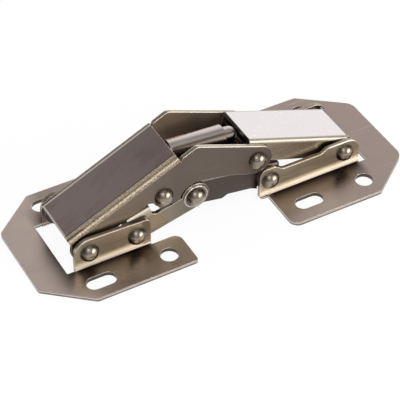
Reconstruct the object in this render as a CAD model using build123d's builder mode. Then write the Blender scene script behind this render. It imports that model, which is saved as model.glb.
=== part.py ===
# Surface mounted spring cabinet hinge, shown fully open with both plates flat on the ground.
# Millimetres. X runs from the cabinet plate to the door plate, Y is the pin direction, Z is up.
# The origin is the middle of the whole hinge on the mounting face.
import os
from math import atan2, cos, hypot, radians, sin, tan
from build123d import *

os.makedirs("parts", exist_ok=True)

# Overall sizes
overall_length = 112.7
cabinet_width = 44.3
door_width = 45.9
sheet = 1.2
cabinet_plate_length = 42.0
door_plate_length = 41.7

# Layers from the middle outwards: inner arms, outer arms, then the flanges of the plates
inner_half = 7.35
arm_gap = 0.2
cabinet_gap = 0.65
door_gap = 0.84
arm_half = inner_half + arm_gap + sheet
cabinet_half = arm_half + cabinet_gap + sheet
door_half = inner_half + door_gap + sheet

# Rivets, washers and running clearances
pin_radius = 1.5
head_radius = 2.7
head_height = 2.0
head_rim = 0.25
running = 0.05
knee_slack = 1.3
front_slack = 1.15
washer_radius = 3.1
washer_play = 0.05
collar_radius = 3.5
collar_thickness = 0.35

# Pivots as distance from the outer end of the plate on each side and height above the plate
a1_in, a1_up = 15.75, 4.93
a2_in, a2_up = 29.7, 4.49
b1_in, b1_up = 17.22, 5.24
b2_in, b2_up = 41.31, 5.4
m_in, m_up = 38.82, 13.0
knee_in, knee_up = 48.3, 9.16
c_in, c_up = 67.45, 13.7

# Plates
cabinet_chamfer_x = 12.3
door_chamfer_x = 13.5
plate_chamfer_y = 10.2
corner_radius = 1.6
cabinet_inner_radius = 2.3
cabinet_outer_radius = 0.8
door_inner_radius = 2.6
door_end_radius = 4.0
window_radius = 0.3
cabinet_window_margin = 9.1
cabinet_window_half = 10.4
door_window_margin = 9.6
door_window_half = 9.8
fold_relief = 0.4
hole_radius = 2.5
slot_radius = 2.25
slot_travel = 4.0
fixing_y = 16.8
cabinet_slot_in = 15.9
cabinet_hole_in = 36.0
door_slot_in = 33.05
door_hole_in = 15.14

# Flanges
flange_height = 9.4
flange_corner = 1.6
fold_inside = 0.35
fold_outside = fold_inside + sheet
cabinet_flange_from = 11.4
cabinet_flange_to = 33.8
door_flange_to = 12.3
door_flange_setback = 0.5
door_waist_up = 7.65
ear_up = 3.66
ear_radius = 4.0
ear_flat_in = 5.7
ear_ramp_in = 7.5
front_ear_up = 4.0
front_ear_reach = 3.2
front_ear_radius = 3.4
flange_foot = 0.3

# Arms
bend = 1.5
main_bend = 1.6
lobe_a1 = 4.3
lobe_c = 4.5
lobe_m = 3.2
lobe_link = 4.15
lobe_short = 3.4
lobe_b1 = 4.0
web_start_in, web_start_up = 10.75, 9.0
web_end_in, web_end_up = 43.3, 24.3
elbow_in, elbow_up = 48.8, 26.1
short_web_in, short_web_up = 65.9, 20.2
short_end_in, short_end_up = 97.8, 8.4
rear_top = 4.9
rear_web_from, rear_web_to = -0.7, 6.4
rear_edge_up = 1.6
front_top = 3.8
front_web_from, front_web_past = 1.0, 3.3
knee_gap = 0.6
notch_in, notch_width, notch_height = 1.8, 0.9, 2.4

# Corners of the cheeks' outlines, along and up from the nearest pivot or web end
main_tail_in, main_tail_down = 0.9, 2.0
main_step_in, main_step_down = 0.7, 1.3
main_lip_in, main_lip_down = 1.25, 0.3
main_belly_in, main_belly_up, main_belly_radius = 10.4, 2.9, 9.0
main_knee_in, main_knee_up, main_knee_radius = 4.2, 4.3, 6.0
main_crook_back, main_crook_up = 0.4, 5.0
main_boss_in, main_boss_down = 4.6, 3.1
main_chin_back, main_chin_down = 1.5, 3.7
main_neck_back, main_neck_down = 2.13, 1.37
main_jaw_back, main_jaw_down = 4.4, 0.5
main_heel_in, main_heel_up, main_heel_radius = 7.6, 2.85, 3.0
short_belly_back, short_belly_up, short_belly_radius = 10.08, 0.76, 6.0
short_neck_in, short_neck_down = 5.25, 3.3
front_waist_back, front_waist_down = 4.4, 3.4
front_waist_from, front_knee_from, front_knee_down = 11.5, 10.0, 4.5
front_foot_in, front_foot_down, front_foot_radius = 4.3, 4.3, 4.0
front_lobe_m = 3.5

# Spring plunger, a tube with a rolled mouth that keeps the piston in
tube_radius = 3.4
tube_wall = 0.5
tube_end_wall = 1.2
tube_rear_in, tube_rear_up = 44.1, 19.766
tube_length = 17.0
tube_tilt = 5.0
mouth_radius = 2.4
mouth_length = 0.8
nose_gap = 0.1
piston_guide = 3.5
piston_travel = 2.0
stop_gap = 0.3
seat_pin_radius = 1.2
seat_depth = 0.6
seat_gap = 0.1
spring_wire = 0.45
spring_gap = 0.1
spring_turns = 5


def place(along, up):
    return (along - overall_length / 2, sheet + up)


def from_door_end(along, up):
    return place(overall_length - along, up)


A1 = place(a1_in, a1_up)
A2 = place(a2_in, a2_up)
M = place(m_in, m_up)
N = place(knee_in, knee_up)
C = place(c_in, c_up)
B1 = from_door_end(b1_in, b1_up)
B2 = from_door_end(b2_in, b2_up)


def off(point, along, up):
    return (point[0] + along, point[1] + up)


def outline(corners):
    # Corners are (u, v, radius); a radius rounds its corner with an arc tangent to both sides.
    # It is called outside the builder blocks, so that the face stays in its own flat frame.
    count = len(corners)
    starts, middles, ends = [], [], []
    for i, (u, v, radius) in enumerate(corners):
        pu, pv = corners[i - 1][:2]
        nu, nv = corners[(i + 1) % count][:2]
        to_last = hypot(pu - u, pv - v)
        to_next = hypot(nu - u, nv - v)
        a = ((pu - u) / to_last, (pv - v) / to_last)
        b = ((nu - u) / to_next, (nv - v) / to_next)
        turn = abs(atan2(a[0] * b[1] - a[1] * b[0], a[0] * b[0] + a[1] * b[1]))
        back = min(radius / tan(turn / 2), 0.45 * to_last, 0.45 * to_next)
        real = back * tan(turn / 2)
        mid = (a[0] + b[0], a[1] + b[1])
        size = hypot(*mid)
        reach = real / sin(turn / 2) - real
        starts.append((u + a[0] * back, v + a[1] * back))
        ends.append((u + b[0] * back, v + b[1] * back))
        middles.append((u + mid[0] / size * reach, v + mid[1] / size * reach))
    pieces = []
    for i in range(count):
        if corners[i][2] > 0:
            pieces.append(ThreePointArc(starts[i], middles[i], ends[i]))
        pieces.append(Line(ends[i], starts[(i + 1) % count]))
    return Face(Wire(pieces))


def side_plate(corners, lobes, inner, thickness, hollows=()):
    # A flat plate in the XZ plane, from y = inner outwards, on both sides of the middle
    face = outline(corners)
    with BuildPart() as piece:
        with BuildSketch(Plane.XZ.offset(inner)):
            add(face)
            for (u, v), radius in lobes:
                with Locations((u, v)):
                    Circle(radius)
            for (u, v), radius in hollows:
                with Locations((u, v)):
                    Circle(radius, mode=Mode.SUBTRACT)
        extrude(amount=thickness)
        mirror(about=Plane.XZ)
    return piece.part


def bent_web(start, end, half, radius):
    # The top of a channel with both bends; start and end lie on its upper face
    run = Vector(end[0] - start[0], 0, end[1] - start[1])
    across = Plane(origin=(start[0], 0, start[1]), x_dir=(0, 1, 0), z_dir=run)
    depth = radius + sheet
    inside = half - sheet
    outer = outline([
        (-half, -depth, 0), (half, -depth, 0), (half, 0, radius), (-half, 0, radius),
    ])
    hollow = outline([
        (-inside, -depth - 1, 0), (inside, -depth - 1, 0),
        (inside, -sheet, radius - sheet), (-inside, -sheet, radius - sheet),
    ])
    with BuildPart() as piece:
        with BuildSketch(across):
            add(outer)
        extrude(amount=run.length)
        with BuildSketch(across):
            add(hollow)
        extrude(amount=run.length, mode=Mode.SUBTRACT)
    return piece.part


def pin_hole(point, radius):
    return Cylinder(radius, 4 * cabinet_half, rotation=(90, 0, 0), mode=Mode.PRIVATE).moved(
        Location((point[0], 0, point[1])))


def rivet(point, half):
    # Straight shank along Y with a domed head on both outer faces
    top = half + head_height
    rim = half + head_rim
    dome = head_height - head_rim
    ball = (head_radius ** 2 + dome ** 2) / (2 * dome)
    knee = (head_radius / 2, top - ball + (ball ** 2 - head_radius ** 2 / 4) ** 0.5)
    with BuildPart() as piece:
        with BuildSketch(Plane.XY):
            with BuildLine():
                Polyline((0, -top), (0, top))
                ThreePointArc((0, top), knee, (head_radius, rim))
                Polyline((head_radius, rim), (head_radius, half), (pin_radius, half),
                         (pin_radius, -half), (head_radius, -half), (head_radius, -rim))
                ThreePointArc((head_radius, -rim), (knee[0], -knee[1]), (0, -top))
            make_face()
        revolve(axis=Axis.Y)
    return piece.part.moved(Location((point[0], 0, point[1])))


def ring(point, bore, radius, y_from, thickness):
    with BuildPart() as piece:
        with BuildSketch(Plane.XZ.offset(y_from)):
            with Locations(point):
                Circle(radius)
                Circle(bore, mode=Mode.SUBTRACT)
        extrude(amount=thickness)
    return piece.part


def plate_sheet(corners):
    face = outline(corners)
    with BuildPart() as piece:
        with BuildSketch(Plane.XY):
            add(face)
        extrude(amount=sheet)
    return piece.part


def folded_flange(corners, half, fold_from, fold_to):
    # Upright flange in the XZ plane, joined to the sheet by a bend between fold_from and fold_to
    inner = half - sheet
    tab = fold_inside + 1.0
    section = outline([
        (-inner, 0, fold_outside), (-half - tab, 0, 0), (-half - tab, sheet, 0),
        (-half, sheet, fold_inside), (-half, 2 * sheet + fold_inside, 0),
        (-inner, 2 * sheet + fold_inside, 0),
    ])
    with BuildPart() as blank:
        with BuildSketch(Plane.YZ.offset(fold_from)):
            add(section)
        extrude(amount=fold_to - fold_from)
        mirror(about=Plane.XZ)
    upright = side_plate(corners, (), inner, sheet)
    swap = Pos((fold_from + fold_to) / 2, 0, 0) * Box(
        fold_to - fold_from, 4 * cabinet_width, sheet + fold_inside,
        align=(Align.CENTER, Align.CENTER, Align.MIN), mode=Mode.PRIVATE)
    return (upright - swap) + blank.part


def channel(corners, lobes, start, end, half, radius, hollows=()):
    # Two cheeks joined by a bent web between start and end on its upper face
    cheeks = side_plate(corners, lobes, half - sheet, sheet, hollows)
    run = Vector(end[0] - start[0], 0, end[1] - start[1])
    along = Plane(origin=(start[0], 0, start[1]), x_dir=run, z_dir=(0, -1, 0))
    above = along * Pos(run.length / 2, 0, 0) * Box(
        run.length, radius + sheet / 2, 4 * half, align=(Align.CENTER, Align.MAX, Align.CENTER))
    clear = along * Pos(run.length / 2, 0, 0) * Box(
        run.length, 4 * half, 4 * half, align=(Align.CENTER, Align.MIN, Align.CENTER))
    return (cheeks - above - clear) + bent_web(start, end, half, radius)


def finish(piece, name):
    piece.label = name
    export_step(piece, "parts/" + name + ".step")


# Cabinet plate, a flat U with two upright flanges
left = -overall_length / 2
edge = cabinet_width / 2
inner_edge = cabinet_half + fold_relief
reach = left + cabinet_plate_length
cabinet_sheet = plate_sheet([
    (left, plate_chamfer_y - edge, corner_radius),
    (left + cabinet_chamfer_x, -edge, corner_radius),
    (reach, -edge, cabinet_outer_radius),
    (reach, -inner_edge, cabinet_inner_radius),
    (left + cabinet_flange_to, -inner_edge, 0),
    (left + cabinet_flange_to, -cabinet_window_half, 0),
    (left + cabinet_window_margin, -cabinet_window_half, window_radius),
    (left + cabinet_window_margin, cabinet_window_half, window_radius),
    (left + cabinet_flange_to, cabinet_window_half, 0),
    (left + cabinet_flange_to, inner_edge, 0),
    (reach, inner_edge, cabinet_inner_radius),
    (reach, edge, cabinet_outer_radius),
    (left + cabinet_chamfer_x, edge, corner_radius),
    (left, edge - plate_chamfer_y, corner_radius),
])
cabinet_flanges = folded_flange([
    (left + cabinet_flange_from, 0, 0),
    (left + cabinet_flange_to, 0, 0),
    (left + cabinet_flange_to, sheet + flange_height - 0.5, flange_corner),
    (left + cabinet_flange_from, sheet + flange_height + 0.2, a1_in - cabinet_flange_from),
], cabinet_half, left + cabinet_flange_from, left + cabinet_flange_to)
with BuildPart() as cabinet_plate:
    add(cabinet_sheet)
    add(cabinet_flanges)
    with Locations(*[(left + cabinet_hole_in, y, sheet / 2) for y in (-fixing_y, fixing_y)]):
        Cylinder(hole_radius, 4 * sheet, mode=Mode.SUBTRACT)
    with BuildSketch(Plane.XY):
        with Locations(*[(left + cabinet_slot_in, y) for y in (-fixing_y, fixing_y)]):
            SlotCenterToCenter(slot_travel, 2 * slot_radius)
    extrude(amount=sheet, mode=Mode.SUBTRACT)
    for pivot in (A1, A2):
        add(pin_hole(pivot, pin_radius), mode=Mode.SUBTRACT)
finish(cabinet_plate.part, "cabinet_plate")

# Door plate, the same idea with raised ears around its two pivots
right = overall_length / 2
near = right - door_plate_length
fold_start = near + door_flange_setback
fold_end = right - door_flange_to
edge = door_width / 2
door_sheet = plate_sheet([
    (right, edge - plate_chamfer_y, door_end_radius),
    (right - door_chamfer_x, edge, corner_radius),
    (near, edge, door_inner_radius),
    (near, door_half, 0),
    (fold_end, door_half, 0),
    (fold_end, door_window_half, 0),
    (right - door_window_margin, door_window_half, window_radius),
    (right - door_window_margin, -door_window_half, window_radius),
    (fold_end, -door_window_half, 0),
    (fold_end, -door_half, 0),
    (near, -door_half, 0),
    (near, -edge, door_inner_radius),
    (right - door_chamfer_x, -edge, corner_radius),
    (right, plate_chamfer_y - edge, door_end_radius),
])
door_flanges = folded_flange([
    (fold_start, 0, 0),
    (fold_end, 0, 0),
    (fold_end - 0.3, B1[1] + ear_up, ear_radius),
    (B1[0] - ear_flat_in, B1[1] + ear_up, 1.5),
    (B1[0] - ear_ramp_in, sheet + door_waist_up, 1.5),
    (B2[0] + 4.2, sheet + door_waist_up, 2.0),
    (B2[0] + 1.5, B2[1] + front_ear_up, 2.0),
    (B2[0] - front_ear_reach, B2[1] + front_ear_up, front_ear_radius),
    (B2[0] - front_ear_reach, flange_foot, 1.8),
    (fold_start, flange_foot, 0),
], door_half, fold_start, fold_end)
with BuildPart() as door_plate:
    add(door_sheet)
    add(door_flanges)
    with Locations(*[(right - door_hole_in, y, sheet / 2) for y in (-fixing_y, fixing_y)]):
        Cylinder(hole_radius, 4 * sheet, mode=Mode.SUBTRACT)
    with BuildSketch(Plane.XY):
        with Locations(*[(right - door_slot_in, y) for y in (-fixing_y, fixing_y)]):
            SlotCenterToCenter(slot_travel, 2 * slot_radius)
    extrude(amount=sheet, mode=Mode.SUBTRACT)
    for pivot in (B1, B2):
        add(pin_hole(pivot, pin_radius), mode=Mode.SUBTRACT)
finish(door_plate.part, "door_plate")

# Main arm, the long outer arm of the cabinet side
web_start = place(web_start_in, web_start_up)
web_end = place(web_end_in, web_end_up)
elbow = place(elbow_in, elbow_up)
tube_rear = place(tube_rear_in, tube_rear_up)
slope = radians(tube_tilt)


def on_axis(distance):
    return off(tube_rear, distance * cos(slope), -distance * sin(slope))


seat = on_axis(-seat_pin_radius - seat_gap)
main_shell = channel(
    [
        off(A1, -lobe_a1, 0) + (0,),
        off(web_start, main_tail_in, -main_tail_down) + (0,),
        off(web_end, main_step_in, -main_step_down) + (0.2,),
        off(web_end, main_lip_in, -main_lip_down) + (0.3,),
        elbow + (2.5,),
        off(C, 1.61, 4.2) + (0,),
        off(C, -1.46, -4.26) + (0,),
        off(N, main_belly_in, main_belly_up) + (main_belly_radius,),
        off(N, main_knee_in, main_knee_up) + (main_knee_radius,),
        off(N, -main_crook_back, main_crook_up) + (0.4,),
        off(M, main_boss_in, -main_boss_down) + (1.2,),
        off(M, -main_chin_back, -main_chin_down) + (1.8,),
        off(M, -main_neck_back, -main_neck_down) + (0.6,),
        off(M, -main_jaw_back, -main_jaw_down) + (1.0,),
        off(A1, main_heel_in, main_heel_up) + (main_heel_radius,),
        off(A1, 3.0, -3.1) + (0,),
    ],
    [(A1, lobe_a1), (C, lobe_c), (M, lobe_m)],
    web_start, web_end, arm_half, main_bend,
    [(N, lobe_link + knee_gap)],
)
with BuildPart() as main_arm:
    add(main_shell)
    add(pin_hole(A1, pin_radius + running), mode=Mode.SUBTRACT)
    add(pin_hole(M, pin_radius), mode=Mode.SUBTRACT)
    add(pin_hole(C, pin_radius), mode=Mode.SUBTRACT)
    with Locations(Location((seat[0], 0, seat[1]), (90, 0, 0))):
        Cylinder(seat_pin_radius, 2 * (arm_half - sheet + seat_depth), mode=Mode.SUBTRACT)
finish(main_arm.part, "main_arm")

# Short arm between the main arm and the door plate
short_start = place(short_web_in, short_web_up)
short_end = place(short_end_in, short_end_up)
short_shell = channel(
    [
        off(C, -lobe_short, 0) + (0,),
        off(short_start, -0.6, -1.8) + (0,),
        off(short_end, -0.4, -1.6) + (0,),
        off(B1, lobe_b1, 0.2) + (0,),
        off(B1, -1.3, -3.78) + (0,),
        off(B1, -short_belly_back, short_belly_up) + (short_belly_radius,),
        off(C, short_neck_in, -short_neck_down) + (2.0,),
        off(C, 0.95, -3.25) + (0,),
    ],
    [(C, lobe_short), (B1, lobe_b1)],
    short_start, short_end, inner_half, bend,
)
with BuildPart() as short_arm:
    add(short_shell)
    add(pin_hole(C, pin_radius + running), mode=Mode.SUBTRACT)
    add(pin_hole(B1, pin_radius + running), mode=Mode.SUBTRACT)
finish(short_arm.part, "short_arm")


def frame_of(origin, far):
    # Returns a function that turns distance along and above a pivot line into X and Z
    angle = atan2(far[1] - origin[1], far[0] - origin[0])

    def convert(along, above):
        return off(origin, along * cos(angle) - above * sin(angle),
                   along * sin(angle) + above * cos(angle))
    return convert, hypot(far[0] - origin[0], far[1] - origin[1])


# Rear link from the cabinet plate to the front link, in the layer of the main arm
rear, rear_length = frame_of(A2, N)
rear_shell = channel(
    [
        rear(0, 0.05 - lobe_link) + (0,),
        rear(rear_length, 0.05 - lobe_link) + (0,),
        rear(rear_length, rear_edge_up) + (0,),
        rear(rear_web_to + 1.2, rear_edge_up) + (1.0,),
        rear(rear_web_to, 2.5) + (0.2,),
        rear(rear_web_from, 2.5) + (0.2,),
        rear(-3.9, 0) + (0.2,),
    ],
    [(A2, lobe_link), (N, lobe_link)],
    rear(rear_web_from, rear_top), rear(rear_web_to, rear_top), arm_half, bend,
)
with BuildPart() as rear_link:
    add(rear_shell)
    add(pin_hole(A2, pin_radius + running), mode=Mode.SUBTRACT)
    add(pin_hole(N, pin_radius), mode=Mode.SUBTRACT)
finish(rear_link.part, "rear_link")

# Front link with three pivots, in the layer of the short arm
front, front_length = frame_of(N, B2)
front_shell = channel(
    [
        off(M, -1.2, 3.3) + (0,),
        front(0.5, front_top) + (0,),
        front(front_length + front_web_past, front_top) + (0,),
        front(front_length + 3.9, 0.5) + (0,),
        front(front_length + 0.5, -3.9) + (0,),
        front(front_length - 2.0, -4.15) + (0.6,),
        front(front_length - front_waist_back, -front_waist_down) + (1.5,),
        front(front_waist_from, -front_waist_down) + (1.0,),
        front(front_knee_from, -front_knee_down) + (1.0,),
        front(front_foot_in, -front_foot_down) + (front_foot_radius,),
        front(0, -4.15) + (0,),
        off(M, -2.4, -2.4) + (0,),
    ],
    [(M, front_lobe_m), (N, lobe_link), (B2, front_ear_up)],
    front(front_web_from, front_top), front(front_length + front_web_past, front_top),
    inner_half, bend,
)
notch = front(front_length - notch_in, -4.3)
with BuildPart() as front_link:
    add(front_shell)
    add(pin_hole(M, pin_radius + running), mode=Mode.SUBTRACT)
    add(pin_hole(N, pin_radius + knee_slack), mode=Mode.SUBTRACT)
    add(pin_hole(B2, pin_radius + front_slack), mode=Mode.SUBTRACT)
    with Locations((notch[0], 0, notch[1])):
        Box(notch_width, 4 * inner_half, notch_height, mode=Mode.SUBTRACT)
finish(front_link.part, "front_link")

# Rivets, one per pivot, each held by the outer pair of plates it joins
pins = [
    ("a1_rivet", A1, cabinet_half), ("a2_rivet", A2, cabinet_half),
    ("m_rivet", M, arm_half), ("n_rivet", N, arm_half + collar_thickness),
    ("c_rivet", C, arm_half), ("b1_rivet", B1, door_half), ("b2_rivet", B2, door_half),
]
for name, pivot, half in pins:
    solid = rivet(pivot, half)
    with BuildPart() as pin:
        add(solid)
    finish(pin.part, name)

# Washers fill the side gaps, front and back; the collars sit under the heads at pivot N
rings = [
    ("a1_washer", A1, pin_radius + running, washer_radius, arm_half, cabinet_gap),
    ("a2_washer", A2, pin_radius + running, washer_radius, arm_half, cabinet_gap),
    ("b1_washer", B1, pin_radius + running, washer_radius, inner_half, door_gap),
    ("b2_washer", B2, pin_radius + running, washer_radius, inner_half, door_gap),
    ("n_collar", N, pin_radius, collar_radius, arm_half, collar_thickness),
]
for name, pivot, bore, radius, inner, room in rings:
    play = 0 if name == "n_collar" else washer_play
    for side, start in (("front", inner + play), ("back", -inner - room)):
        solid = ring(pivot, bore, radius, start, room - play)
        with BuildPart() as washer:
            add(solid)
        finish(washer.part, name + "_" + side)

# Spring plunger on its slightly falling axis; all steps are distances from the tube's rear end
axis_plane = Plane(origin=(tube_rear[0], 0, tube_rear[1]), x_dir=(0, 1, 0),
                   z_dir=(cos(slope), 0, -sin(slope)))
bore_radius = tube_radius - tube_wall
mouth = tube_length - mouth_length
with BuildPart() as plunger_tube:
    with BuildSketch(axis_plane):
        Circle(tube_radius)
    extrude(amount=tube_length)
    chamfer(plunger_tube.edges().filter_by(GeomType.CIRCLE), tube_wall / 2)
    with BuildSketch(axis_plane.offset(tube_end_wall)):
        Circle(bore_radius)
    extrude(amount=mouth - tube_end_wall, mode=Mode.SUBTRACT)
    with BuildSketch(axis_plane.offset(mouth)):
        Circle(mouth_radius + running)
    extrude(amount=2 * mouth_length, mode=Mode.SUBTRACT)
finish(plunger_tube.part, "plunger_tube")

# The piston's nose ends just short of the lower edge of the short arm's web
web_slope = atan2(short_start[1] - short_end[1], short_end[0] - short_start[0])
web_corner = off(short_start, -sheet * sin(web_slope), -sheet * cos(web_slope))
nose_end = ((web_corner[0] - tube_rear[0]) * cos(slope)
            - (web_corner[1] - tube_rear[1]) * sin(slope) - nose_gap)
guide_front = mouth - piston_travel - stop_gap
with BuildPart() as plunger_piston:
    with BuildSketch(axis_plane.offset(guide_front - piston_guide)):
        Circle(bore_radius - running)
    extrude(amount=piston_guide)
    with BuildSketch(axis_plane.offset(guide_front - piston_guide)):
        Circle(mouth_radius)
    extrude(amount=nose_end - guide_front + piston_guide)
    fillet(plunger_piston.faces().sort_by(Axis.X)[-1].edges(), 0.85 * mouth_radius)
finish(plunger_piston.part, "plunger_piston")

spring_start = tube_end_wall + spring_gap + spring_wire
coil_height = guide_front - piston_guide - spring_gap - spring_wire - spring_start
with BuildPart() as plunger_spring:
    coil = Helix(coil_height / spring_turns, coil_height, bore_radius - 2 * spring_wire)
    with BuildSketch(Plane(origin=coil @ 0, z_dir=coil % 0)):
        RegularPolygon(spring_wire, 6)
    sweep(path=coil, is_frenet=True)
finish(axis_plane.offset(spring_start).location * plunger_spring.part, "plunger_spring")

with BuildPart() as tube_seat_pin:
    with Locations(Location((seat[0], 0, seat[1]), (90, 0, 0))):
        Cylinder(seat_pin_radius, 2 * (arm_half - sheet + seat_depth))
finish(tube_seat_pin.part, "tube_seat_pin")
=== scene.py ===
from math import cos, radians, sin

import bpy
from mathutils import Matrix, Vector

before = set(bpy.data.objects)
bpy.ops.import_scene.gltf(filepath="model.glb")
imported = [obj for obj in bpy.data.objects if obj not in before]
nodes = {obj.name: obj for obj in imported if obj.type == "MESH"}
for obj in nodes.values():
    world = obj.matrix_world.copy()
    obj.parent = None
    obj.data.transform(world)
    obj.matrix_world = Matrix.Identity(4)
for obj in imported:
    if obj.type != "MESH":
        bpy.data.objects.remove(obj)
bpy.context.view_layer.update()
scene = bpy.context.scene

# Camera at the photograph's angle, in metres and degrees
VIEW_AZIMUTH = -28.687
VIEW_ELEVATION = 42.911
VIEW_DISTANCE = 0.445789
VIEW_TARGET = Vector((-0.007653, 0.000809, 0.0012))
LENS_MM = 146.16
SENSOR_MM = 36.0
SHIFT_X = 0.0512
SHIFT_Y = -0.0020
CLIP_START = 0.02
CLIP_END = 20

# Studio: an even grey and soft panels, each with its direction, inner angle, outer angle and light
STUDIO_GREY = 0.52
STUDIO_PANELS = [
    ((0.75, 0.60, 0.25), 22, 42, 1.15),
    ((0.20, -0.35, 0.92), 17, 28, 1.2),
    ((-0.80, 0.50, 0.35), 10, 45, -0.2),
    ((-0.30, -0.75, 0.58), 12, 30, 0.7),
    ((0.63, -0.73, 0.24), 15, 26, 4.6),
]
KEY_PLACE = (-0.3, -0.7, 0.9)
KEY_SIZE = 0.5
KEY_WATTS = 4

# Floor, in metres, with the colour that lights the part and the white that the camera sees
FLOOR_HALF = 3.0
FLOOR_GAP = 0.00002
FLOOR_COLOUR = (0.86, 0.86, 0.86, 1)
FLOOR_WHITE = 0.93
WHITE = (1, 1, 1, 1)

# Nickel plate, the same on all pieces: lengths in metres
NOISE_RANGE = 0.3, 0.7
NOISE_ROUGHNESS = 0.55
CLOUD_SCALE = 90, 90, 90
GRAIN_SCALE = 60, 2600, 2600
SPECK_SCALE = 2200, 2200, 2200
HAIRLINE_SCALE = 25, 1500, 1500
HAIRLINE_TURN = 0, 6, 27
HAIRLINE_STRENGTH = 0.4
HAIRLINE_LIGHT = 1.4
BUMP_STRENGTH = 0.07
BUMP_DEPTH = 0.00003
EDGE_RADIUS = 0.00022
# Edge strength and colour: painted highlight on the rounded edges, partly wear
EDGE_HIGHLIGHT_AND_WEAR_STRENGTH = 0.75
EDGE_HIGHLIGHT_AND_WEAR_COLOUR = (0.90, 0.83, 0.73)
FILLET_TILT = 0.45

# Places on the pieces, in millimetres: stretches are rise, top, fall and end
CABINET_FOLD_Y = 10.6
DOOR_FOLD_Y = 9.4
HOLES_X = 16.5, 17.5, 45.0, 46.0
HOLES_Y = 13.5, 13.9, 19.7, 20.1
WEB_END_X = -12.3, -12.9
CHEEK_MIDDLE_Y = 8.15
A2_X = -26.65
REAR_LINK_RISE = 0.243
REAR_LINK_RUN = 0.970
KNEE_X = -8.05
KNEE_Z = 10.36

# Stretches of the plates along X that are toned down with painted shade, each with its colour
CABINET_SHADE_TINTS = [
    ((-90, -80, -46, -41), (0.79, 0.76, 0.82)),
    ((-46, -41, -33, -19), (0.52, 0.50, 0.53)),
]
DOOR_SHADE_TINTS = [((28, 38, 90, 100), (0.80, 0.78, 0.79))]


def view_back(azimuth, elevation):
    """Direction from the target to a camera that looks along +Y at azimuth 0."""
    a, e = radians(azimuth), radians(elevation)
    return Vector((sin(a) * cos(e), -cos(a) * cos(e), sin(e)))


def make_camera():
    data = bpy.data.cameras.new("camera")
    data.sensor_width = SENSOR_MM
    data.lens = LENS_MM
    data.shift_x = SHIFT_X
    data.shift_y = SHIFT_Y
    data.clip_start = CLIP_START
    data.clip_end = CLIP_END
    camera = bpy.data.objects.new("camera", data)
    scene.collection.objects.link(camera)
    back = view_back(VIEW_AZIMUTH, VIEW_ELEVATION)
    camera.location = VIEW_TARGET + back * VIEW_DISTANCE
    camera.rotation_mode = "QUATERNION"
    camera.rotation_quaternion = (-back).to_track_quat("-Z", "Y")
    scene.camera = camera


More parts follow.
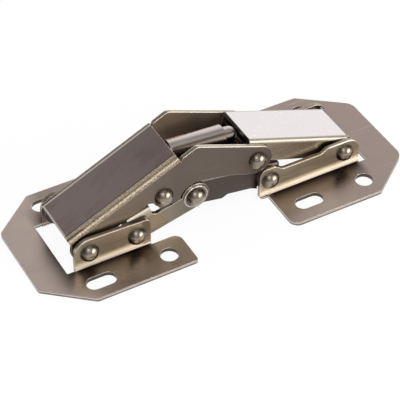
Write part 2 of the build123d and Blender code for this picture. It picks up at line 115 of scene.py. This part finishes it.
class Shader:
    """Builds a material's node tree with short calls. Masks run from 0 to 1."""

    def __init__(self, name):
        self.material = bpy.data.materials.new(name)
        self.material.use_nodes = True
        self.tree = self.material.node_tree
        self.tree.nodes.clear()
        self.output = self.add("ShaderNodeOutputMaterial")

    def add(self, kind, **values):
        node = self.tree.nodes.new(kind)
        for key, value in values.items():
            setattr(node, key, value)
        return node

    def link(self, source, target):
        self.tree.links.new(source, target)

    def fill(self, socket, value):
        if isinstance(value, bpy.types.NodeSocket):
            self.link(value, socket)
        else:
            socket.default_value = value

    def math(self, operation, a, b=0.0, clamp=False):
        node = self.add("ShaderNodeMath", operation=operation, use_clamp=clamp)
        self.fill(node.inputs[0], a)
        self.fill(node.inputs[1], b)
        return node.outputs[0]

    def overlap(self, *masks):
        result = masks[0]
        for mask in masks[1:]:
            result = self.math("MULTIPLY", result, mask)
        return result

    def split(self, socket):
        node = self.add("ShaderNodeSeparateXYZ")
        self.link(socket, node.inputs[0])
        return node.outputs

    def place(self, scale, turn=(0.0, 0.0, 0.0)):
        # Object coordinates in metres, turned and scaled, for noise
        coordinates = self.add("ShaderNodeTexCoord")
        mapping = self.add("ShaderNodeMapping")
        mapping.inputs["Rotation"].default_value = [radians(t) for t in turn]
        mapping.inputs["Scale"].default_value = scale
        self.link(coordinates.outputs["Object"], mapping.inputs["Vector"])
        return mapping.outputs["Vector"]

    def noise(self, vector, detail, distortion=0.0):
        node = self.add("ShaderNodeTexNoise")
        node.inputs["Scale"].default_value = 1.0
        node.inputs["Detail"].default_value = detail
        node.inputs["Roughness"].default_value = NOISE_ROUGHNESS
        node.inputs["Distortion"].default_value = distortion
        self.link(vector, node.inputs["Vector"])
        return node.outputs["Fac"]

    def ramp(self, value, low, high, to_low=0.0, to_high=1.0):
        node = self.add("ShaderNodeMapRange")
        node.clamp = True
        self.fill(node.inputs["Value"], value)
        node.inputs["From Min"].default_value = low
        node.inputs["From Max"].default_value = high
        node.inputs["To Min"].default_value = to_low
        node.inputs["To Max"].default_value = to_high
        return node.outputs["Result"]

    def between(self, value, rise, top, fall, end):
        return self.overlap(self.ramp(value, rise, top), self.ramp(value, end, fall))

    def mix(self, kind, factor, a, b):
        node = self.add("ShaderNodeMix", data_type="RGBA", blend_type=kind)
        self.fill(node.inputs["Factor"], factor)
        for socket, value in ((node.inputs[6], a), (node.inputs[7], b)):
            self.fill(socket, (*value, 1) if isinstance(value, tuple) else value)
        return node.outputs[2]

    def blend(self, factor, a, b):
        return self.mix("MIX", factor, a, b)

    def tint(self, factor, a, b):
        return self.mix("MULTIPLY", factor, a, b)

    def at(self, axis):
        # One of the object's own coordinates, in millimetres
        metres = self.split(self.add("ShaderNodeTexCoord").outputs["Object"])[axis]
        return self.math("MULTIPLY", metres, 1000.0)

    def out(self):
        # Distance from the middle plane, in millimetres
        return self.math("ABSOLUTE", self.at("Y"))

    def near(self):
        # The side at low Y, which the photograph shows
        return self.ramp(self.at("Y"), 0.0, -1.0)

    def normal(self, axis):
        # The object's own normal, which keeps its place when the hinge folds
        return self.split(self.add("ShaderNodeTexCoord").outputs["Normal"])[axis]

    def across(self):
        # How much a surface faces along the pivots
        return self.math("ABSOLUTE", self.normal("Y"))

    def level(self):
        # How much a surface faces up or down
        return self.math("ABSOLUTE", self.normal("Z"))

    def lean(self, amount):
        # Tilt of the outer faces: up in the soft fillet over the fold, slightly down above it
        z = self.at("Z")
        outward = self.math("MULTIPLY", self.normal("Y"), self.math("SIGN", self.at("Y")), clamp=True)
        fillet = self.overlap(self.ramp(z, 2.8, 4.4, FILLET_TILT, 0.0), self.ramp(z, 1.25, 1.4))
        rise = self.math("SUBTRACT", fillet, self.ramp(z, 1.6, 3.0, 0.0, amount))
        tilt = self.add("ShaderNodeCombineXYZ")
        self.link(self.overlap(outward, rise), tilt.inputs["Z"])
        turned = self.add("ShaderNodeVectorTransform", vector_type="VECTOR",
                          convert_from="OBJECT", convert_to="WORLD")
        self.link(tilt.outputs[0], turned.inputs[0])
        return turned.outputs[0]


def nickel(name, colour, dark, roughness, zones=None, leaning=0.0):
    """Satin nickel plate: cloudy tone, fine grain along the sheet, hairline scratches, edges bright with
    painted highlight and wear.

    zones adds local tones: it takes the shader and the colour so far, and returns the new colour
    and a value to add to the roughness. leaning is how far the flanges lean, as a share of the normal."""
    s = Shader(name)
    base = s.add("ShaderNodeBsdfPrincipled")
    base.inputs["Metallic"].default_value = 1.0

    # Tone
    cloud = s.noise(s.place(CLOUD_SCALE), detail=3)
    body = s.blend(s.ramp(cloud, *NOISE_RANGE), dark, colour)
    rougher = 0.0
    if zones:
        body, rougher = zones(s, body)
    lines = s.noise(s.place(HAIRLINE_SCALE, HAIRLINE_TURN), detail=1, distortion=0.4)
    hairline = s.ramp(lines, 0.70, 0.76, 0.0, HAIRLINE_STRENGTH)
    body = s.blend(hairline, body, tuple(min(1.0, c * HAIRLINE_LIGHT) for c in colour))

    # Edges: painted highlight, partly wear, bright where the rounded normal leaves the flat one
    soft = s.add("ShaderNodeBevel", samples=4)
    soft.inputs["Radius"].default_value = EDGE_RADIUS
    corner = s.add("ShaderNodeVectorMath", operation="DOT_PRODUCT")
    s.link(soft.outputs["Normal"], corner.inputs[0])
    s.link(s.add("ShaderNodeNewGeometry").outputs["True Normal"], corner.inputs[1])
    edge = s.ramp(corner.outputs["Value"], 0.97, 0.80, 0.0, EDGE_HIGHLIGHT_AND_WEAR_STRENGTH)
    s.link(s.blend(edge, body, EDGE_HIGHLIGHT_AND_WEAR_COLOUR), base.inputs["Base Color"])

    # Roughness
    grain = s.noise(s.place(GRAIN_SCALE), detail=2)
    uneven = s.math("ADD", s.ramp(cloud, *NOISE_RANGE, roughness - 0.04, roughness + 0.05),
                    s.ramp(grain, *NOISE_RANGE, -0.03, 0.03))
    s.link(s.math("ADD", uneven, rougher), base.inputs["Roughness"])

    # Bump and the lean of the flanges
    specks = s.noise(s.place(SPECK_SCALE), detail=2)
    bump = s.add("ShaderNodeBump")
    bump.inputs["Strength"].default_value = BUMP_STRENGTH
    bump.inputs["Distance"].default_value = BUMP_DEPTH
    s.link(s.math("ADD", s.math("MULTIPLY", grain, 0.6), s.math("MULTIPLY", specks, 0.7)),
           bump.inputs["Height"])
    s.link(soft.outputs["Normal"], bump.inputs["Normal"])
    normal = bump.outputs["Normal"]
    if leaning:
        tilted = s.add("ShaderNodeVectorMath", operation="ADD")
        s.link(normal, tilted.inputs[0])
        s.link(s.lean(leaning), tilted.inputs[1])
        unit = s.add("ShaderNodeVectorMath", operation="NORMALIZE")
        s.link(tilted.outputs[0], unit.inputs[0])
        normal = unit.outputs[0]
    s.link(normal, base.inputs["Normal"])
    s.link(base.outputs["BSDF"], s.output.inputs["Surface"])
    return s.material


def plate_zones(fold_y, fold_from, fold_to, shade_tints):
    """Flanges with painted light outside and painted shade inside, a dark strip of painted reflection
    beside each fold, and sheared edges.

    The folds lie fold_y from the middle plane, and run along X from fold_from to fold_to."""
    def zones(s, body):
        x, y, z = s.at("X"), s.out(), s.at("Z")
        across, level = s.across(), s.level()

        # Flat sheet, darker in stretches with painted shade
        for stretch, colour in shade_tints:
            body = s.tint(s.between(x, *stretch), body, colour)
        # Painted reflection: a dark strip beside the fold that stands in for the dark flange mirrored in
        # the flat sheet
        strip = s.overlap(s.ramp(y, fold_y + 7.5, fold_y + 0.5), s.ramp(z, 1.5, 1.3),
                          s.between(x, fold_from - 3, fold_from + 1, fold_to - 1, fold_to + 1))
        body = s.blend(strip, body, (0.020, 0.014, 0.010))

        # Flanges: painted light outside, darker towards the top, and painted shade inside and at the inner
        # end of the cabinet's
        pale = s.blend(s.ramp(z, 4.8, 6.6), (0.66, 0.56, 0.40), (0.43, 0.36, 0.26))
        pale = s.blend(s.ramp(z, 4.4, 3.2), pale, (0.62, 0.51, 0.37))
        pale = s.tint(s.between(x, -25.8, -24.6, -20, -19), pale, (0.40, 0.36, 0.34))
        outer = s.ramp(y, fold_y - 0.8, fold_y - 0.4)
        upright = s.overlap(s.ramp(across, 0.55, 0.85), s.ramp(z, 1.6, 2.2))
        body = s.blend(upright, body, s.blend(outer, (0.12, 0.092, 0.07), pale))

        # Rims of the flanges, with a painted highlight as a bright outer line on the near side
        rim = s.overlap(s.ramp(level, 0.4, 0.7), s.ramp(z, 7.0, 7.4))
        painted_line = s.overlap(s.near(), s.ramp(y, fold_y - 0.55, fold_y - 0.25))
        body = s.blend(rim, body, s.blend(painted_line, (0.26, 0.21, 0.16), (0.95, 0.88, 0.76)))

        # Sheared edges: streaks, a painted highlight as a bright line, and painted shade on the dark top
        # and on the dark walls of the screw holes
        streak = s.noise(s.place((500, 500, 200)), detail=2)
        shear = s.blend(s.ramp(streak, 0.4, 0.6), (0.17, 0.14, 0.12), (0.26, 0.215, 0.19))
        shear = s.blend(s.between(z, 0.55, 0.65, 0.95, 1.05), shear, (0.62, 0.53, 0.48))
        shear = s.blend(s.ramp(z, 1.0, 1.1), shear, (0.08, 0.065, 0.055))
        hole_shade = s.overlap(s.between(s.math("ABSOLUTE", x), *HOLES_X), s.between(y, *HOLES_Y))
        shear = s.blend(hole_shade, shear, (0.085, 0.068, 0.058))
        sheared = s.overlap(s.ramp(level, 0.5, 0.3), s.ramp(z, 1.35, 1.25))
        return s.blend(sheared, body, shear), s.math("MULTIPLY", upright, 0.08)
    return zones


def arm_zones(s, body):
    """Web paler with painted light, a rough bend with painted highlight, inner faces with painted light and
    shade, and cut edges with painted highlight.
    """
    x, y = s.at("X"), s.out()
    across, level = s.across(), s.level()
    upward = s.ramp(level, 0.5, 0.7)
    under_web = s.ramp(x, *WEB_END_X)

    # Outer cheeks, and the web with its smudges, paler than the cheeks with painted light, and painted
    # highlights as bright lines at its far and rear edges
    web = s.overlap(s.ramp(across, 0.25, 0.08), s.ramp(y, 7.5, 7.2))
    cheek = s.blend(s.ramp(x, -40, -14), (0.25, 0.205, 0.16), body)
    top = s.blend(s.ramp(x, -34, -14), (0.345, 0.275, 0.255), (0.28, 0.222, 0.203))
    body = s.blend(web, cheek, top)
    smudge = s.ramp(s.noise(s.place((110, 240, 110), (0, 0, 20)), detail=5), 0.48, 0.72, 0.0, 0.8)
    body = s.tint(s.overlap(web, smudge), body, (0.78, 0.76, 0.76))
    far_edge_highlight = s.overlap(s.math("SUBTRACT", 1.0, s.near()), s.ramp(y, 6.75, 6.85))
    edges = s.math("MAXIMUM", far_edge_highlight, s.ramp(x, -45.05, -45.2))
    body = s.blend(s.overlap(web, upward, edges), body, (0.88, 0.78, 0.72))

    # Inner faces: painted light in front, warm and bright, and painted shade at the rear, dark under the
    # web
    inside = s.overlap(s.ramp(across, 0.75, 0.9), s.ramp(y, 8.1, 7.8))
    front = s.overlap(inside, s.ramp(x, -20, -14))
    body = s.blend(front, body, s.blend(s.ramp(x, -12, 2), (0.50, 0.36, 0.25), (0.36, 0.27, 0.20)))
    body = s.blend(s.overlap(inside, s.ramp(x, -14, -20)), body, (0.06, 0.046, 0.037))

    # Outer bends lightened with painted highlight, and beside the near one a band of painted highlight on
    # the web with a dark line of painted shade
    hatch = s.ramp(s.noise(s.place((2400, 2400, 2400)), detail=1), 0.40, 0.60)
    bend = s.overlap(s.between(across, 0.03, 0.10, 0.985, 0.999), s.ramp(y, 6.8, 7.0), under_web)
    body = s.blend(bend, body, s.blend(hatch, (0.23, 0.185, 0.135), (0.41, 0.335, 0.245)))
    beside = s.overlap(s.near(), s.ramp(across, 0.10, 0.03), upward, under_web)
    highlight_band = s.overlap(beside, s.ramp(y, 6.35, 6.5))
    body = s.blend(highlight_band, body, s.blend(hatch, (0.46, 0.365, 0.275), (0.88, 0.71, 0.54)))
    painted_line = s.overlap(beside, s.between(y, 6.0, 6.1, 6.25, 6.35))
    body = s.blend(painted_line, body, (0.13, 0.105, 0.09))

    # Cut edges of the bare cheeks, with painted highlight brightest at their two arrises, and the darker
    # tail
    edge = s.ramp(across, 0.5, 0.2)
    arris = s.ramp(s.math("ABSOLUTE", s.math("SUBTRACT", y, CHEEK_MIDDLE_Y)), 0.38, 0.5)
    cut = s.blend(arris, (0.30, 0.25, 0.20), (0.92, 0.86, 0.77))
    body = s.blend(s.overlap(edge, s.ramp(x, -12.6, -12.2)), body, cut)
    tail = s.overlap(edge, s.ramp(x, -40.8, -41.2), s.ramp(y, 7.3, 7.5))
    body = s.blend(tail, body, (0.14, 0.112, 0.09))
    return body, s.math("ADD", s.math("MULTIPLY", bend, 0.15), s.math("MULTIPLY", front, 0.2))


def short_zones(s, body):
    """Cheeks beige with painted shade under the pale web, and a painted highlight along the bend."""
    x, y, across = s.at("X"), s.out(), s.across()
    # Painted shade: cheeks darker than the web
    cheek = s.blend(s.ramp(x, 12, 34), (0.31, 0.265, 0.20), (0.23, 0.185, 0.14))
    body = s.blend(s.ramp(across, 0.8, 0.97), body, cheek)
    # Painted highlight along the bend
    bend = s.overlap(s.between(across, 0.10, 0.2, 0.97, 0.995), s.ramp(y, 5.6, 5.9))
    return s.blend(bend, body, (0.36, 0.32, 0.26)), s.math("MULTIPLY", bend, 0.1)


def rear_zones(s, body):
    """Painted light: paler at the rear, a bright upper part by the web, and a painted highlight on the cut
    edge.
    """
    x, z = s.at("X"), s.at("Z")
    # Painted light: paler towards the rear
    body = s.blend(s.ramp(x, -20, -8), (0.30, 0.26, 0.20), body)

    # Height over the line of the link, measured square to it
    above = s.math("SUBTRACT", s.math("MULTIPLY", z, REAR_LINK_RUN),
                   s.math("MULTIPLY", s.math("SUBTRACT", x, A2_X), REAR_LINK_RISE))
    # Painted light on the upper part by the web
    upper = s.overlap(s.ramp(above, 7.6, 8.2), s.ramp(x, -18.5, -19.3))
    body = s.blend(upper, body, (0.42, 0.38, 0.30))
    # Painted highlight on the cut edge
    cut = s.overlap(s.ramp(s.across(), 0.5, 0.2), s.ramp(s.level(), 0.4, 0.7), s.ramp(x, -19.0, -18.5))
    return s.blend(cut, body, (0.85, 0.78, 0.68)), s.math("MULTIPLY", upper, 0.12)


def rivet_zones(seat_y):
    """Rim darkened with painted shade and some grime where the dome meets its seat, which lies seat_y from
    the middle plane.
    """
    def zones(s, body):
        upper = s.ramp(s.normal("Z"), -0.75, -0.35)
        rim = s.overlap(s.ramp(s.out(), seat_y + 1.7, seat_y + 0.8), upper)
        # Painted shade, with some grime, around the rim of the dome
        shade_and_grime = s.blend(s.math("MULTIPLY", rim, 0.85), body, (0.035, 0.028, 0.022))
        return shade_and_grime, s.math("MULTIPLY", rim, 0.1)
    return zones


def plunger_zones(s, body):
    """Painted shade down the sides, which leaves the top bright."""
    return s.tint(s.ramp(s.level(), 0.97, 0.78), body, (0.20, 0.178, 0.165)), 0.0


def collar_zones(s, body):
    """Painted highlight on the outer edge of the ring around the knee pivot, by the squared distance from
    the pivot.
    """
    dx, dz = s.math("SUBTRACT", s.at("X"), KNEE_X), s.math("SUBTRACT", s.at("Z"), KNEE_Z)
    far = s.math("ADD", s.math("MULTIPLY", dx, dx), s.math("MULTIPLY", dz, dz))
    return s.blend(s.ramp(far, 10.7, 11.3), body, (0.80, 0.73, 0.65)), 0.0


def dress(material, *names):
    for name in names:
        node = nodes[name]
        node.data.materials.clear()
        node.data.materials.append(material)


def dress_plates():
    zones = plate_zones(CABINET_FOLD_Y, -45.0, -22.5, CABINET_SHADE_TINTS)
    # The two plates share one nickel but get different colours: painted light and shade, paler on the
    # cabinet plate
    dress(nickel("cabinet plate nickel", (0.66, 0.56, 0.46), (0.60, 0.51, 0.42), 0.30, zones, leaning=0.06),
          "cabinet_plate")
    zones = plate_zones(DOOR_FOLD_Y, 15.2, 44.0, DOOR_SHADE_TINTS)
    dress(nickel("door plate nickel", (0.345, 0.28, 0.245), (0.31, 0.25, 0.22), 0.30, zones, leaning=0.06),
          "door_plate")


def dress_links():
    # The links share one nickel but get different colours: painted light and shade, palest on the short arm
    # and darkest on the front link
    dress(nickel("arm nickel", (0.150, 0.118, 0.097), (0.135, 0.106, 0.087), 0.30, arm_zones), "main_arm")
    dress(nickel("short arm nickel", (0.515, 0.48, 0.485), (0.485, 0.455, 0.46), 0.26, short_zones),
          "short_arm")
    dress(nickel("rear link nickel", (0.165, 0.138, 0.112), (0.145, 0.12, 0.098), 0.30, rear_zones),
          "rear_link")
    dress(nickel("front link nickel", (0.088, 0.072, 0.062), (0.075, 0.061, 0.052), 0.30), "front_link")


def dress_small_parts():
    seats = {
        "cabinet": (CABINET_FOLD_Y, ["a1_rivet", "a2_rivet"]),
        "arm": (8.75, ["m_rivet", "c_rivet"]),
        "knee": (9.1, ["n_rivet"]),
        "door": (9.39, ["b1_rivet", "b2_rivet"]),
    }
    for layer, (seat_y, rivets) in seats.items():
        dress(nickel(layer + " rivet nickel", (0.33, 0.28, 0.225), (0.285, 0.24, 0.19), 0.12,
                     rivet_zones(seat_y)), *rivets)
    dress(nickel("washer nickel", (0.36, 0.32, 0.28), (0.30, 0.27, 0.24), 0.30),
          *[name for name in nodes if "washer" in name])
    dress(nickel("collar nickel", (0.20, 0.168, 0.14), (0.17, 0.142, 0.118), 0.30, collar_zones),
          "n_collar_front", "n_collar_back")
    dress(nickel("plunger nickel", (0.42, 0.37, 0.345), (0.38, 0.335, 0.31), 0.22, plunger_zones),
          "plunger_tube", "plunger_piston", "tube_seat_pin", "plunger_spring")


def make_floor():
    """Pale floor that the camera, metal and glass see as white, and that keeps the part's shadow."""
    mesh = bpy.data.meshes.new("floor")
    half = FLOOR_HALF
    corners = [(-half, -half, 0), (half, -half, 0), (half, half, 0), (-half, half, 0)]
    mesh.from_pydata(corners, [], [(0, 1, 2, 3)])
    floor = bpy.data.objects.new("floor", mesh)
    floor.location.z = -FLOOR_GAP
    scene.collection.objects.link(floor)
    s = Shader("floor")
    diffuse = s.add("ShaderNodeBsdfDiffuse")
    diffuse.inputs["Color"].default_value = FLOOR_COLOUR
    white = s.add("ShaderNodeEmission")
    white.inputs["Color"].default_value = WHITE
    path = s.add("ShaderNodeLightPath")
    seen = s.math("MAXIMUM", path.outputs["Is Camera Ray"],
                  s.math("MAXIMUM", path.outputs["Is Glossy Ray"], path.outputs["Is Transmission Ray"]))
    mix = s.add("ShaderNodeMixShader")
    s.link(s.math("MULTIPLY", seen, FLOOR_WHITE), mix.inputs[0])
    s.link(diffuse.outputs[0], mix.inputs[1])
    s.link(white.outputs[0], mix.inputs[2])
    s.link(mix.outputs[0], s.output.inputs["Surface"])
    floor.data.materials.append(s.material)


def make_world():
    """Grey studio whose panels are added to the grey, with soft borders."""
    world = bpy.data.worlds.new("studio")
    scene.world = world
    world.use_nodes = True
    tree = world.node_tree
    background = tree.nodes["Background"]
    background.inputs["Color"].default_value = WHITE
    direction = tree.nodes.new("ShaderNodeTexCoord").outputs["Generated"]
    total = None
    for centre, inner, outer, light in STUDIO_PANELS:
        dot = tree.nodes.new("ShaderNodeVectorMath")
        dot.operation = "DOT_PRODUCT"
        tree.links.new(direction, dot.inputs[0])
        dot.inputs[1].default_value = Vector(centre).normalized()
        fade = tree.nodes.new("ShaderNodeMapRange")
        fade.interpolation_type = "SMOOTHSTEP"
        tree.links.new(dot.outputs["Value"], fade.inputs["Value"])
        fade.inputs["From Min"].default_value = cos(radians(outer))
        fade.inputs["From Max"].default_value = cos(radians(inner))
        fade.inputs["To Max"].default_value = light
        add = tree.nodes.new("ShaderNodeMath")
        add.operation = "ADD"
        tree.links.new(fade.outputs["Result"], add.inputs[0])
        if total is None:
            add.inputs[1].default_value = STUDIO_GREY
        else:
            tree.links.new(total, add.inputs[1])
        total = add.outputs[0]
    tree.links.new(total, background.inputs["Strength"])


def make_key():
    data = bpy.data.lights.new("key", "AREA")
    data.shape = "SQUARE"
    data.size = KEY_SIZE
    data.energy = KEY_WATTS
    key = bpy.data.objects.new("key", data)
    key.location = KEY_PLACE
    key.rotation_mode = "QUATERNION"
    key.rotation_quaternion = (VIEW_TARGET - Vector(KEY_PLACE)).to_track_quat("-Z", "Y")
    scene.collection.objects.link(key)


make_camera()
scene.view_settings.view_transform = "Standard"
dress_plates()
dress_links()
dress_small_parts()
make_floor()
make_world()
make_key()
